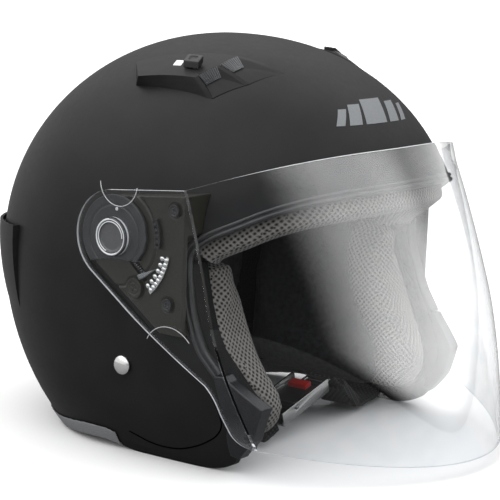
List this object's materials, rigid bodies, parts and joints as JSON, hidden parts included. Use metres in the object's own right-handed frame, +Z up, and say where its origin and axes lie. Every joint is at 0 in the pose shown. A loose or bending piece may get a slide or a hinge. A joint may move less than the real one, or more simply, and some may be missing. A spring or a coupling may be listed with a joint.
{
  "type": "open face motorcycle helmet",
  "caption": "Open face helmet with a lifting clear visor, opening top vents, padded lining and a quick-release chin strap.",
  "frame": {"origin": "middle of the footprint on the table, under the visor hubs", "axes": "+Z up, the face looks along -Y, the wearer's left is +X"},
  "size_m": [0.2582, 0.3104, 0.225],
  "materials": {
    "matte_black_shell": "matt black paint on moulded plastic",
    "black_rubber_trim": "smooth black",
    "grey_rubber_trim": "satin dark grey",
    "polystyrene_foam": "black moulded bead foam",
    "grey_mesh_fabric": "perforated grey mesh",
    "black_fabric": "black brushed lining",
    "clear_polycarbonate": "clear hard-coated polycarbonate",
    "olive_black_plastic": "satin olive black",
    "grey_plastic": "satin grey",
    "black_plastic": "gloss black",
    "chromed_steel": "bright chrome",
    "plain_steel": "plain steel",
    "black_webbing": "woven black webbing",
    "red_plastic": "gloss red"
  },
  "bodies": {
    "helmet": {"outer_shell": "matte_black_shell", "rear_vent_cover": "matte_black_shell", "top_vent_housing_right": "matte_black_shell", "top_vent_housing_left": "matte_black_shell", "eps_liner": "polystyrene_foam", "eps_cheek_right": "polystyrene_foam", "eps_cheek_left": "polystyrene_foam", "crown_pad": "black_fabric", "neck_roll": "black_fabric", "strap_pad_right": "black_fabric", "strap_pad_left": "black_fabric", "brow_band": "grey_mesh_fabric", "cheek_pad_right": "grey_mesh_fabric", "cheek_pad_left": "grey_mesh_fabric", "chin_strap_right": "black_webbing", "chin_strap_left": "black_webbing", "strap_rivet_right": "chromed_steel", "strap_rivet_left": "chromed_steel", "buckle_body": "chromed_steel", "ratchet_tongue": "chromed_steel", "detent_rack_right": "chromed_steel", "detent_rack_left": "chromed_steel", "top_vent_grille_1_right": "chromed_steel", "top_vent_grille_1_left": "chromed_steel", "top_vent_grille_2_right": "chromed_steel", "top_vent_grille_2_left": "chromed_steel", "rivet_washer_right": "plain_steel", "rivet_washer_left": "plain_steel", "buckle_pin": "plain_steel", "pawl_spring_right": "plain_steel", "pawl_spring_left": "plain_steel", "base_screw_1_right": "plain_steel", "base_screw_1_left": "plain_steel", "base_screw_2_right": "plain_steel", "base_screw_2_left": "plain_steel", "base_screw_3_right": "plain_steel", "base_screw_3_left": "plain_steel", "face_edge_trim": "black_rubber_trim", "visor_bumper_right": "black_rubber_trim", "visor_bumper_left": "black_rubber_trim", "base_edge_trim": "grey_rubber_trim", "visor_hub_right": "clear_polycarbonate", "visor_hub_left": "clear_polycarbonate", "pivot_base_right": "olive_black_plastic", "pivot_base_left": "olive_black_plastic", "guide_rail_right": "black_plastic", "guide_rail_left": "black_plastic", "rear_vent_grille": "black_plastic"},
    "visor": {"visor": "clear_polycarbonate", "visor_cam_right": "grey_plastic", "visor_cam_left": "grey_plastic"},
    "buckle_lever": {"buckle_lever": "red_plastic"},
    "vent_slider_right": {"top_vent_slider_right": "black_plastic"},
    "pawl_right": {"detent_pawl_right": "plain_steel"},
    "vent_slider_left": {"top_vent_slider_left": "black_plastic"},
    "pawl_left": {"detent_pawl_left": "plain_steel"}
  },
  "joints": [
    {"name": "visor_lift", "type": "hinge", "parent": "helmet", "child": "visor", "pos_m": [0, 0.00033, 0.1235], "axis": [-1, 0, 0], "range_deg": [0, 60]},
    {"name": "vent_slide_right", "type": "slide", "parent": "helmet", "child": "vent_slider_right", "axis": [0, 0.9958, 0.0915], "range_m": [0, 0.007]},
    {"name": "pawl_turn_right", "type": "hinge", "parent": "helmet", "child": "pawl_right", "pos_m": [-0.1237, -0.01787, 0.10465], "axis": [-1, 0, 0], "range_deg": [0, 9], "stiffness_Nm_per_rad": 0.01},
    {"name": "vent_slide_left", "type": "slide", "parent": "helmet", "child": "vent_slider_left", "axis": [0, 0.9958, 0.0915], "range_m": [0, 0.007]},
    {"name": "pawl_turn_left", "type": "hinge", "parent": "helmet", "child": "pawl_left", "pos_m": [0.1237, -0.01787, 0.10465], "axis": [-1, 0, 0], "range_deg": [0, 9], "stiffness_Nm_per_rad": 0.01},
    {"name": "buckle_release", "type": "hinge", "parent": "helmet", "child": "buckle_lever", "pos_m": [-0.02209, -0.03617, 0.01989], "axis": [0, -1, 0], "range_deg": [0, 32], "stiffness_Nm_per_rad": 0.05}
  ]
}
